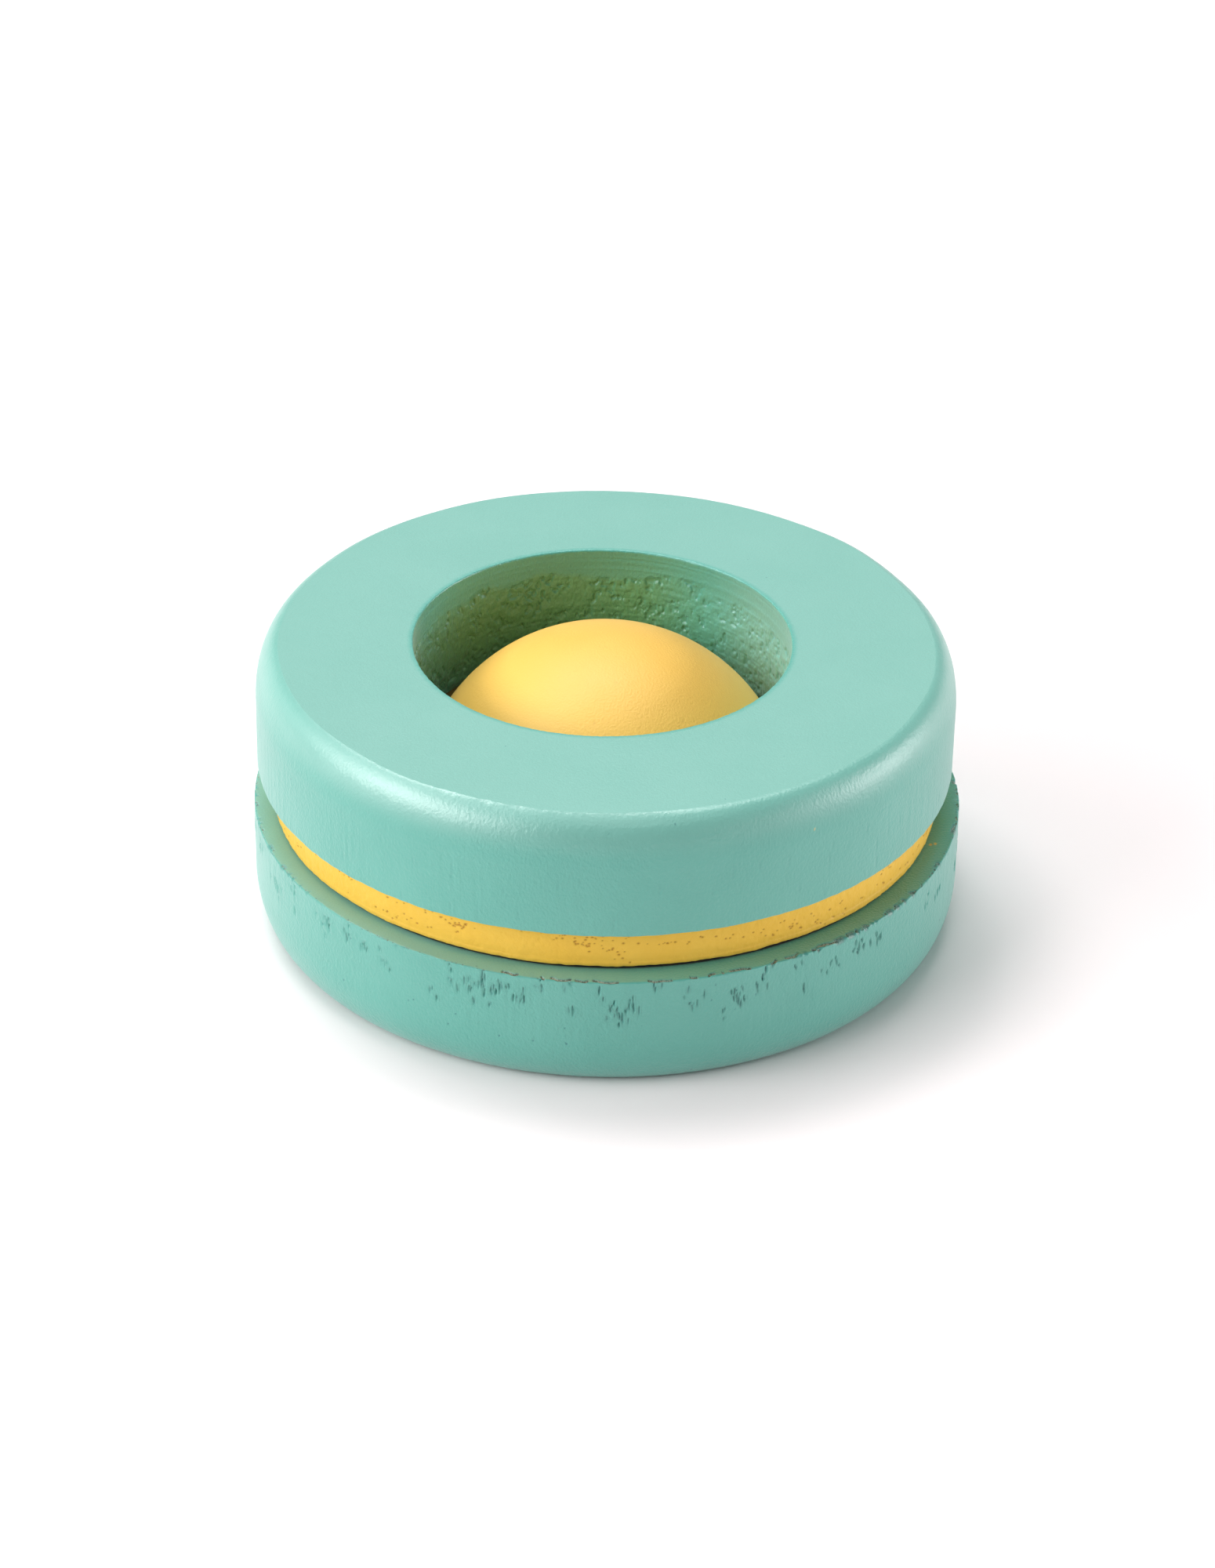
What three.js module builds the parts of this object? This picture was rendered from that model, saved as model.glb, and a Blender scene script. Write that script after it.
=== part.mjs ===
// A wooden play-food sandwich cookie. A solid biscuit carries a thin disc of filling and a second
// biscuit cut as a ring. A domed button stands on the filling and shows through the ring's hole.
// A hidden dowel pins the button and the filling to the lower biscuit.
// Millimetres, +Z up, with the origin at the middle of the underside.
import * as THREE from "three";

// Driving dimensions of the layers
const bottomDiameter = 51;
const bottomThickness = 8.8;
const fillingThickness = 3.4;
const fillingInset = 1.1; // how far the filling's side lies inside the ring's side
const topDiameter = 50;
const topThickness = 8.8;
const boreDiameter = 27;
const domeClearance = 0.7; // from the bore's wall to the rim of the dome, all round
const domeRecess = 0.1; // from the ring's top face down to the dome's highest point

// Edges: a biscuit's outer edge is a quarter of an ellipse, tall along its side and short across its face
const roundingWidth = 1.7;
const roundingHeight = 3.7;
const sharpEdgeBreak = 0.25; // the biscuits' edges next to the filling
const boreEdgeBreak = 0.2;
const fillingEdgeRadius = 0.7;
const domeRimBreak = 0.3;

// The dowel and its holes
const dowelDiameter = 8;
const dowelChamfer = 0.8;
const dowelGlueGap = 0.15; // between the dowel and the wall of its hole
const dowelEndRoom = 0.5; // left for glue at each end of the dowel
const woodUnderDowel = 3.4; // of the lower biscuit, below its hole
const woodOverDowel = 3.2; // of the dome, above its hole

// Fineness of the turned surfaces
const facetsAround = 72;
const facetsPerRounding = 10;
const facetsPerSmallRounding = 5;
const facetsOverDome = 14;

// Heights of the faces where the layers meet
const fillingBase = bottomThickness;
const topBase = fillingBase + fillingThickness;

const dowelHoleRadius = dowelDiameter / 2 + dowelGlueGap;
const bottomHoleDepth = bottomThickness - woodUnderDowel;
const domeHeight = topThickness - domeRecess;
const domeHoleDepth = domeHeight - woodOverDowel;

const tealPaint = new THREE.MeshStandardMaterial({ color: 0x86c9bb, roughness: 0.55, metalness: 0 });
const yellowPaint = new THREE.MeshStandardMaterial({ color: 0xf3d078, roughness: 0.6, metalness: 0 });
const bareWood = new THREE.MeshStandardMaterial({ color: 0xd9bb8c, roughness: 0.8, metalness: 0 });

// A point of a section: its distance from the axis and its height.
function at(radius, height) {
  return new THREE.Vector2(radius, height);
}

// Points along an arc of an ellipse, both ends included.
// Angles are in quarter turns: 0 is straight out from the axis, 1 is up and -1 is down.
function arc(centreRadius, centreHeight, width, height, fromQuarter, toQuarter, steps) {
  return Array.from({ length: steps + 1 }, (_, step) => {
    const angle = (Math.PI / 2) * (fromQuarter + ((toQuarter - fromQuarter) * step) / steps);
    return at(centreRadius + width * Math.cos(angle), centreHeight + height * Math.sin(angle));
  });
}

// A biscuit's outer rounding, from the height where its straight side ends.
function outerRounding(radius, sideEnd, fromQuarter, toQuarter) {
  const centre = radius - roundingWidth;
  return arc(centre, sideEnd, roundingWidth, roundingHeight, fromQuarter, toQuarter, facetsPerRounding);
}

// A piece turned about the axis. With the axis on the left, its section runs counter-clockwise.
function turned(name, section, material, baseHeight) {
  const geometry = new THREE.LatheGeometry(section, facetsAround);
  geometry.rotateX(Math.PI / 2);
  const piece = new THREE.Mesh(geometry, material);
  piece.name = name;
  piece.position.z = baseHeight;
  return piece;
}

// The lower biscuit is rounded round its foot and has a blind hole for the dowel in its top face.
function bottomBiscuit() {
  const radius = bottomDiameter / 2;
  const section = [
    at(0, 0),
    ...outerRounding(radius, roundingHeight, -1, 0),
    at(radius, bottomThickness - sharpEdgeBreak),
    at(radius - sharpEdgeBreak, bottomThickness),
    at(dowelHoleRadius, bottomThickness),
    at(dowelHoleRadius, bottomThickness - bottomHoleDepth),
    at(0, bottomThickness - bottomHoleDepth),
  ];
  return turned("bottom_biscuit", section, tealPaint, 0);
}

// The filling is a thin disc with both edges rounded over, drilled through for the dowel.
function fillingDisc() {
  const radius = topDiameter / 2 - fillingInset;
  const edge = fillingEdgeRadius;
  const section = [
    at(dowelHoleRadius, 0),
    ...arc(radius - edge, edge, edge, edge, -1, 0, facetsPerSmallRounding),
    ...arc(radius - edge, fillingThickness - edge, edge, edge, 0, 1, facetsPerSmallRounding),
    at(dowelHoleRadius, fillingThickness),
    at(dowelHoleRadius, 0),
  ];
  return turned("filling_disc", section, yellowPaint, fillingBase);
}

// The dome is a cap of a sphere on a short rim, with a blind hole for the dowel in its flat base.
function fillingDome() {
  const rimRadius = boreDiameter / 2 - domeClearance;
  const capHeight = domeHeight - domeRimBreak;
  const ballRadius = (rimRadius ** 2 + capHeight ** 2) / (2 * capHeight);
  const ballHeight = domeHeight - ballRadius;
  const rimQuarter = Math.asin((domeRimBreak - ballHeight) / ballRadius) / (Math.PI / 2);
  const section = [
    at(0, domeHoleDepth),
    at(dowelHoleRadius, domeHoleDepth),
    at(dowelHoleRadius, 0),
    at(rimRadius - domeRimBreak, 0),
    ...arc(0, ballHeight, ballRadius, ballRadius, rimQuarter, 1, facetsOverDome).slice(0, -1),
    at(0, domeHeight),
  ];
  return turned("filling_dome", section, yellowPaint, topBase);
}

// The upper biscuit is a ring: rounded outside at the top, sharp below, with a straight bore.
function topBiscuit() {
  const radius = topDiameter / 2;
  const boreRadius = boreDiameter / 2;
  const section = [
    at(boreRadius, 0),
    at(radius - sharpEdgeBreak, 0),
    at(radius, sharpEdgeBreak),
    ...outerRounding(radius, topThickness - roundingHeight, 0, 1),
    at(boreRadius + boreEdgeBreak, topThickness),
    at(boreRadius, topThickness - boreEdgeBreak),
    at(boreRadius, 0),
  ];
  return turned("top_biscuit", section, tealPaint, topBase);
}

// The dowel fills both blind holes but for the glue, and goes through the filling between them.
function centreDowel() {
  const radius = dowelDiameter / 2;
  const length = bottomHoleDepth + fillingThickness + domeHoleDepth - 2 * dowelEndRoom;
  const section = [
    at(0, 0),
    at(radius - dowelChamfer, 0),
    at(radius, dowelChamfer),
    at(radius, length - dowelChamfer),
    at(radius - dowelChamfer, length),
    at(0, length),
  ];
  return turned("centre_dowel", section, bareWood, fillingBase - bottomHoleDepth + dowelEndRoom);
}

const toyCookie = new THREE.Group();
toyCookie.name = "toy_cookie";
toyCookie.add(bottomBiscuit(), fillingDisc(), fillingDome(), topBiscuit(), centreDowel());

export default toyCookie;
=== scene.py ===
import math

import bpy
import numpy as np
from mathutils import Matrix, Vector


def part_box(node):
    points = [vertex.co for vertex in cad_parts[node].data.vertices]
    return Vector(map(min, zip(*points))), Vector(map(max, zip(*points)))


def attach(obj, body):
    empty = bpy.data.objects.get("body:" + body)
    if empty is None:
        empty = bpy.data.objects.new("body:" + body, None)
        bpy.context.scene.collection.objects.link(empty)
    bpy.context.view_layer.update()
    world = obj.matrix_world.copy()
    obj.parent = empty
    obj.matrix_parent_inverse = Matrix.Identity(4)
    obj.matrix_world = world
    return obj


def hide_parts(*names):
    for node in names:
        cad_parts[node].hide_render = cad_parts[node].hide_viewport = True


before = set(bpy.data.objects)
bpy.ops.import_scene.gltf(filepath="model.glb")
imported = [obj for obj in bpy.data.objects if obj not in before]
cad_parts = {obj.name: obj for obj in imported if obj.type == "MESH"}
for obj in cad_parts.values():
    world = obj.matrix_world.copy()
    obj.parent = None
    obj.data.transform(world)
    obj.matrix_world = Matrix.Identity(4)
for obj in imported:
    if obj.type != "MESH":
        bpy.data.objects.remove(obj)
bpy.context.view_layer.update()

MM = 0.001
TURN = 2.0 * math.pi
SEED = 20

# Fineness of the meshes
RING_COLUMNS = 1800
BASE_COLUMNS = 3000
FILLING_COLUMNS = 2400
DOME_CELLS = 220
FINE_STEP = 0.12 * MM
SIDE_STEP = 0.1 * MM
BRINK_STEP = 0.05 * MM
FILLING_STEP = 0.07 * MM
BORE_STEP = 0.07 * MM
PLAIN_STEP = 0.35 * MM
HIDDEN_STEP = 2.0 * MM
EDGE_ROWS = 7
GAP_ROWS = 25
AXIS_CAP = 0.5 * MM

# Texture maps: the share that an unrolled surface takes, and the places of flat caps and of the dome
MAP_SHARE = 0.93
CAP_MAP_RADIUS = 0.02
CAP_MAP_PLACES = [(0.05, 0.97), (0.15, 0.97)]
DOME_MAP_SIZE = 0.8
DOME_MAP_MIDDLE = 0.42
SKIRT_MAP_ROWS = (0.9, 0.93)
BASE_MAP_RADIUS = 0.05
BASE_MAP_PLACE = (0.92, 0.4)

# Sections, as far as the frame's boxes don't give them
ROUNDING_WIDTH = 1.7 * MM
ROUNDING_HEIGHT = 3.7 * MM
ROUNDING_LENGTH = 4.3 * MM
SHARP_EDGE = 0.1 * MM
BORE_RIM = 0.1 * MM
RING_MARGIN = 1.2 * MM
BASE_BRINK = 0.7 * MM
BASE_COVERED = 2.0 * MM
FILLING_ROUNDING = 0.7 * MM
FILLING_FOOT = 0.22 * MM
FILLING_SEAT = 3.5 * MM
DOME_RIM_BREAK = 0.3 * MM
DOME_TRIM = 0.1 * MM

# How far each layer was glued off the lower biscuit's axis, and the bore was cut off the ring's
RING_SHIFT = (-0.2 * MM, 0.0)
FILLING_SHIFT = (-0.12 * MM, 0.0)
DOME_SHIFT = (-0.18 * MM, 0.05 * MM)
BORE_SHIFT = (-0.3 * MM, 0.35 * MM)
# How far round the bore the ring's faces move with it in full
BORE_COLLAR = 1.0 * MM

# Arcs round the axis: first and last angle, and how far past each they fade out
TORN_CREASE_ARC = (-120, -97, 7)
DEEP_CREASE_ARC = (-140, -92, 22)
SOFT_CREASE_ARC = (-70, 10, 20)
POLISHED_ARC = (-140, -94, 26)
LATHE_MARK_ARC = (-85, -30, 25)
# Where the bore's wall is paler with painted light
LIT_WALL_ARCS = [(-40, 30, 30), (180, 220, 20)]
# Where the back of the bore's wall takes painted shade tinted with yellow reflected light
SHADED_WALL_ARC = (82, 135, 32)
SERRATED_ARC = (-52, 70, 12)
LESS_SERRATED_ARC = (150, 212, 10)
CHIPPED_ARC = (-104, -54, 6)
# Where the ledge is paler with painted light
LIT_LEDGE_ARC = (-205, -100, 25)
# Where the ledge takes painted shade tinted with yellow reflected light
SHADED_LEDGE_ARC = (-100, -45, 25)
LIFTED_ARC = (-118, -76, 45)

# A dent: how far across and down it is worked out with its lip, and how far right the lip lies, all in
# the dent's half sizes
DENT_REACH = (4.0, 2.0)
LIP_PLACE = 1.8

# Marks of turning and painting: how far they rise and sink
WAVE = 0.012 * MM
STREAK = 0.014 * MM
PEEL = 0.005 * MM
LATHE_MARK = 0.005 * MM
LEDGE_PEEL = 0.004 * MM
# How strong the painted shade, tinted with yellow light reflected from the filling, is on part of the ledge
LEDGE_BOUNCE_SHADE = 0.3

# The crease between the ring's rounding and its flat face: its angle in degrees, how it wanders, how its
# torn stretch is jagged, and the share of that elsewhere
CREASE_ANGLE = 81.0
CREASE_DEEPER = 8.0
CREASE_SOFTER = 6.0
CREASE_WANDER = 0.1 * MM
CREASE_JAG = 0.045 * MM
CREASE_FINE_JAG = 0.04 * MM
SOUND_JAG = 0.15
JAGGED_SHARE = 0.86
FOOT_CREASE_ANGLE = 84.0

# The bore's wall: lathe lines, crumbled grain from some way under the rim with painted shade in its pits,
# and how strong the painted shade, tinted with yellow light reflected from the dome, is over that at the
# back
LATHE_LINE = 0.02 * MM
CRUMBLED_FROM = 1.8 * MM
CRUMBLED_WANDER = 0.5 * MM
CRUMBLED_BLEND = 0.6 * MM
CRUMB_DEPTH = 0.07 * MM
CRUMB_PIT_DEPTH = 0.08 * MM
CRUMB_PIT_SHADE = 0.06
SHADED_WALL_TOP = 0.5

# How far at most the ring's rounding takes on the faces' finish and their paler colour of painted sheen,
# and how polished it is all round
ROUNDING_MATT_AND_LIGHT = 0.7
LEAST_POLISH = 0.3

# Faint upright scores on the ring's side, between two heights over its underside
SCORES = 60
SCORE_HEIGHTS = (0.5 * MM, 4.5 * MM)
SCORE_LENGTHS = (0.2 * MM, 0.7 * MM)
SCORE_WIDTH = 0.09 * MM
SCORE_DEPTH = 0.02 * MM

# Torn grain on the lower biscuit's side: angle, height over the underside in millimetres, and strength
TORN_PATCHES = [
    (-150, 8.2, 0.4), (-150, 6.6, 0.3), (-141, 7.5, 0.5), (-139, 7.2, 0.6), (-134, 7.7, 0.6),
    (-131, 7.2, 0.5), (-127, 8.0, 0.3), (-125, 6.5, 0.2), (-124, 8.5, 0.3), (-117, 5.6, 0.2),
    (-115, 8.0, 0.5), (-112, 7.2, 0.5), (-110.5, 6.4, 0.5), (-109, 7.8, 1.0), (-108, 6.6, 0.6),
    (-106, 7.5, 1.0), (-102.5, 7.0, 0.8), (-99, 8.3, 0.5), (-95, 8.5, 0.5), (-95, 6.5, 0.4),
    (-91, 7.5, 0.3), (-88, 6.6, 1.0), (-87.6, 5.7, 0.9), (-85.5, 7.0, 0.7), (-82, 8.2, 0.4),
    (-77, 6.9, 0.6), (-75, 6.7, 0.4), (-71.5, 5.6, 0.2), (-69, 7.1, 0.9), (-68.6, 6.4, 0.8),
    (-65, 7.2, 0.6), (-62.6, 8.0, 0.3), (-58.7, 8.0, 0.2), (-57, 6.4, 0.3), (-54, 7.1, 0.3),
    (-51.5, 7.4, 0.4), (-46, 7.4, 0.9), (-42, 7.2, 0.6), (-27, 6.8, 0.4), (-22, 6.8, 0.4),
]
TORN_WIDTH = 0.36 * MM
TORN_HEIGHT = 0.34 * MM
SLITS_IN_PATCH = 8
SLIT_WIDTHS = (0.035 * MM, 0.07 * MM)
SLIT_LENGTHS = (0.05 * MM, 0.28 * MM)
SLIT_DEPTHS = (0.06 * MM, 0.15 * MM)
# How strong the painted shade in each slit is, least and most
SLIT_SHADE = (0.2, 0.8)
SLIT_CROOK = 0.07 * MM
SLIT_LIP = 1.1
HOLLOW_WIDTH = 0.2 * MM
HOLLOW_LENGTH = 0.4 * MM
HOLLOW_DEPTH = 0.02 * MM
# Elsewhere the grain tore alike, at places left to chance
FREE_ARC = (-14, 208)
FREE_HEIGHTS = (5.4, 8.5)
FREE_STRENGTHS = (0.2, 1.0)
FREE_PATCHES = 44
# Pinholes all round, with painted shade in them, and the uneven upper part of the side
PINHOLES = 50
PINHOLE_HEIGHTS = (2.0 * MM, 8.4 * MM)
PINHOLE_SIZES = (0.05 * MM, 0.07 * MM)
PINHOLE_DEPTH = 0.03 * MM
UNEVEN_HEIGHTS = (6.0 * MM, 8.0 * MM)
UNEVEN = 0.012 * MM
# How far the side stands back, so that lips stay in the CAD solid
SIDE_ALLOWANCE = 0.025 * MM

# The lower biscuit's upper edge: chips with a bead of paint outside each, and bites with painted shade in
# them
LEAST_CHIPPED = 0.1
CHIP_MIDDLE = 0.08 * MM
CHIP_CROOK = 0.15 * MM
CHIP_WIDTH = 0.135 * MM
CHIP_DEPTH = 0.1 * MM
BEAD_OFFSET = 0.15 * MM
BEAD_WIDTH = 0.07 * MM
BEAD_HEIGHT = 0.025 * MM
BITE_ROUNDING = 0.2 * MM
BITE_OFFSET = 0.03 * MM
BITE_WIDTH = 0.19 * MM
BITE_DEPTH = 0.04 * MM
# Dark dots of bare wood along it: first and last angle, count and half size
DOTTED_ARCS = [(-56, 70, 90, 0.085 * MM), (150, 212, 40, 0.07 * MM), (-146, -100, 26, 0.05 * MM)]
DOT_SCATTER = 0.05 * MM
DOT_VARIETY = (0.7, 1.3)

# Drips of the filling's paint on the teal: angle and radius on the ledge, angle and height on the ring,
# both in millimetres
LEDGE_SPECKS = [(-16.1, 24.4), (-16.6, 24.1)]
RING_SPECKS = [(-55.0, 18.2)]
LEDGE_SPECK_SIZE = (0.14 * MM, 0.1 * MM)
RING_SPECK_SIZE = (0.065 * MM, 0.065 * MM)
SPECK_HEIGHT = 0.01 * MM

# The filling: the gap under it, the painted shade along the seam under it and on its covered top, the ridge
# round its side, its relief and its pores
GAP = 0.1 * MM
GAP_LIFTED = 0.13 * MM
GAP_WANDER = 0.03 * MM
GAP_INSIDE = 0.8
SEAM_INSET = 0.26 * MM
SEAM_BLEND = 0.06 * MM
COVERED_PAINTED_SHADE = 0.85
RIDGE_HEIGHTS = (0.58 * MM, 0.7 * MM)
RIDGE = 0.045 * MM
FILLING_WAVE = 0.02 * MM
FILLING_STREAK = 0.006 * MM
LUMP = 0.018 * MM
FINE_LUMP = 0.009 * MM
PORE_GROUPS = 64
PORES_IN_GROUP = (4, 20)
PORE_HEIGHTS = (0.9 * MM, 2.5 * MM)
PORE_SPREADS = (0.5 * MM, 3.0 * MM)
PORE_SLOPE = 0.12
PORE_SCATTER = 0.13 * MM
PORE_SIZES = (0.05 * MM, 0.1 * MM)
PORE_DEPTH = 0.035 * MM
DOME_PORES = 70
DOME_PORE_SIZES = (0.05 * MM, 0.09 * MM)
DOME_PORE_DEPTH = 0.03 * MM
DOME_PORE_DARKNESS = 0.3

# Colours, in linear light
# A paler copy of the sides' teal for the faces and lit parts, with painted sheen and light
FACE_SHEEN_PALE = (0.190, 0.470, 0.398)
FACE_SHEEN_DEEP = (0.166, 0.444, 0.372)
SIDE_PALE = (0.1, 0.418, 0.343)
SIDE_DEEP = (0.078, 0.384, 0.312)
# Painted shade in pits, slits, pinholes, scores and bites
TEAL_PIT_SHADE = (0.009, 0.165, 0.165)
# Painted shade tinted with yellow light reflected from the filling and the dome
TEAL_YELLOW_BOUNCE_SHADE = (0.105, 0.325, 0.15)
YELLOW = (0.9, 0.55, 0.06)
YELLOW_PALE = (0.905, 0.565, 0.068)
YELLOW_DEEP = (0.89, 0.53, 0.05)
# The dome's copy of the filling's yellow, less saturated with painted sheen
DOME_SHEEN_PALE = (0.864, 0.524, 0.092)
DOME_SHEEN_DEEP = (0.86, 0.515, 0.0875)
OCHRE = (0.46, 0.19, 0.008)
# Painted shade for the crevice under the filling and for the filling's covered top
SEAM_PAINTED_SHADE = (0.012, 0.014, 0.007)
WOOD_PALE = (0.62, 0.45, 0.26)
WOOD_MID = (0.42, 0.28, 0.15)
WOOD_DARK = (0.085, 0.06, 0.035)
SPLINTER_PALE = (0.3, 0.31, 0.24)
SPLINTER_DARK = (0.045, 0.055, 0.04)
FLOOR_WHITE = (0.955, 0.888, 0.898)

# Finish of the teal on the sides, on the faces and on the polished rounding
TEAL_ROUGHNESS = (0.38, 0.43, 0.4)
TEAL_GLOSS = (0.8, 1.0, 1.6)
TEAL_GRAIN = (1.0, 0.6, 0.5)
TEAL_SHEEN = 0.3

# Finish of the rest
YELLOW_ROUGHNESS = (0.48, 0.58)
FILLING_GLOSS = 0.35
DOME_GLOSS = 0.61
YELLOW_SHEEN = 0.1
SHEEN_ROUGHNESS = 0.5
WOOD_ROUGHNESS = 0.75
PAPER_ROUGHNESS = 0.9

# Texture of the finishes: the sizes of its cells, and how deep the fine grain looks
TEAL_CLOUDS = 6.0 * MM
TEAL_SPECKLE = 0.22 * MM
TEAL_PINHOLES = 0.34 * MM
TEAL_SPLINTERS = 0.12 * MM
TEAL_GRAIN_SIZE = 0.18 * MM
TEAL_GRAIN_DEPTH = 0.045 * MM
YELLOW_CLOUDS = 5.0 * MM
YELLOW_SPECKLE = 0.2 * MM
YELLOW_GRAIN_SIZE = 0.17 * MM
YELLOW_GRAIN_DEPTH = 0.03 * MM
WOOD_GRAIN_SIZE = 0.5 * MM
WOOD_GRAIN_DEPTH = 0.03 * MM
WOOD_FLECKS = 0.25 * MM
PAPER_TOOTH_SIZE = 1.5 * MM
PAPER_TOOTH_DEPTH = 0.004 * MM

# The camera: the photograph's viewpoint
LENS_MM = 108.0
SENSOR_MM = 36.0
CAMERA_CLIP = 0.01
CAMERA_DISTANCE = 340.5 * MM
CAMERA_ELEVATION = math.radians(31.0)
CAMERA_ROLL = math.radians(0.98)
CAMERA_TARGET = Vector((0.03 * MM, 0.0, 9.24 * MM))

# Soft boxes: azimuth and elevation in degrees, width and height in metres, power in watts
LIGHT_DISTANCE = 0.9
SOFT_BOXES = {
    "left_middle": (207, 27, 0.7, 0.36, 4.9),
    "left_side": (180, 32, 0.6, 0.5, 2.1),
    "left_high": (195, 56, 0.5, 0.5, 1.0),
    "left_top": (132, 62, 0.36, 0.36, 3.25),
    "back_left_low": (140, 12, 0.5, 0.3, 0.5),
    "back_high": (85, 68, 0.45, 0.4, 3.15),
    "overhead": (0, 88, 0.5, 0.5, 0.35),
    "front_high": (282, 60, 0.5, 0.5, 0.8),
    "right_low": (5, 8, 0.55, 0.22, 3.5),
    "right_middle": (0, 30, 0.5, 0.4, 0.5),
    "front_right_low": (330, 9, 0.45, 0.25, 0.6),
}
# The world's light over the horizon, and under it, past the edge of the floor
WORLD_LIGHT = 0.03
FAR_FLOOR_LIGHT = 1.0
HORIZON_BLEND = 0.002
FLOOR_REACH = 0.8


def smoothstep(low, high, values):
    """0 below low, 1 above high, and a smooth rise between them."""
    share = np.clip((values - low) / (high - low), 0.0, 1.0)
    return share * share * (3.0 - 2.0 * share)


def at_least(low, share):
    """A share from 0 to 1, carried over to the range from low to 1."""
    return low + (1.0 - low) * share


def arc_mask(angle, start, end, blend):
    """1 between two angles, in degrees and counter-clockwise, fading to 0 over blend past each."""
    away = np.abs((np.degrees(angle) - (start + end) / 2.0 + 180.0) % 360.0 - 180.0)
    return 1.0 - smoothstep((end - start) / 2.0, (end - start) / 2.0 + blend, away)


def random_for(seed):
    """Random numbers that a seed picks, the same on every run."""
    return np.random.default_rng([SEED, seed])


def ring_noise(seed, cells, columns):
    """Smooth noise from -1 to 1 round the axis, that closes on itself."""
    return interpolate_round(random_for(seed).uniform(-1.0, 1.0, (1, cells)), columns)[0]


def interpolate_round(lattice, columns):
    """Each row of the lattice, spread smoothly over the columns of a full turn."""
    cells = lattice.shape[1]
    turns = np.arange(columns) * cells / columns
    cell = turns.astype(int)
    share = smoothstep(0.0, 1.0, turns - cell)
    return lattice[:, cell] * (1.0 - share) + lattice[:, (cell + 1) % cells] * share


def node_radii(node):
    """The smallest and largest distance of a CAD node's corners from the axis."""
    corners = np.array([corner.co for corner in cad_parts[node].data.vertices])
    distances = np.hypot(corners[:, 0], corners[:, 1])
    return float(distances.min()), float(distances.max())


def row_count(length, step):
    """How many rows a stretch of a section takes."""
    return max(2, round(length / step))


def line(start, end, rows):
    """Rows from start up to, but without, end. Each is (radius, height), which may vary round the axis."""
    share = np.linspace(0.0, 1.0, rows, endpoint=False)[:, None]
    return [begin + (finish - begin) * share for begin, finish in zip(start, end)]


def corner(centre, size, from_angle, to_angle, rows):
    """Rows along a round edge about centre. Its size may vary round the axis."""
    angle = np.linspace(from_angle, to_angle, rows, endpoint=False)[:, None]
    return [centre[0] + size * np.cos(angle), centre[1] + size * np.sin(angle)]


def rounding(outer, side_end, width, jag, crease, direction):
    """Rows of a biscuit's outer rounding, which meets its flat face in a crease: upwards, it runs from
    the side to the face, and downwards from the face to the side. crease is 90 degrees for no crease,
    and jag sets the crease in or out without moving the lower part of the rounding."""
    share = np.linspace(0.0, 1.0, row_count(ROUNDING_LENGTH, FINE_STEP), endpoint=False)[:, None]
    if direction < 0:
        share = 1.0 - share
    sweep = crease * share
    inwards = width * (1.0 - np.cos(sweep)) / (1.0 - np.cos(crease))
    inwards = inwards + jag * smoothstep(JAGGED_SHARE, 1.0, share)
    return [outer - inwards, side_end + direction * ROUNDING_HEIGHT * np.sin(sweep) / np.sin(crease)]


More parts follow.
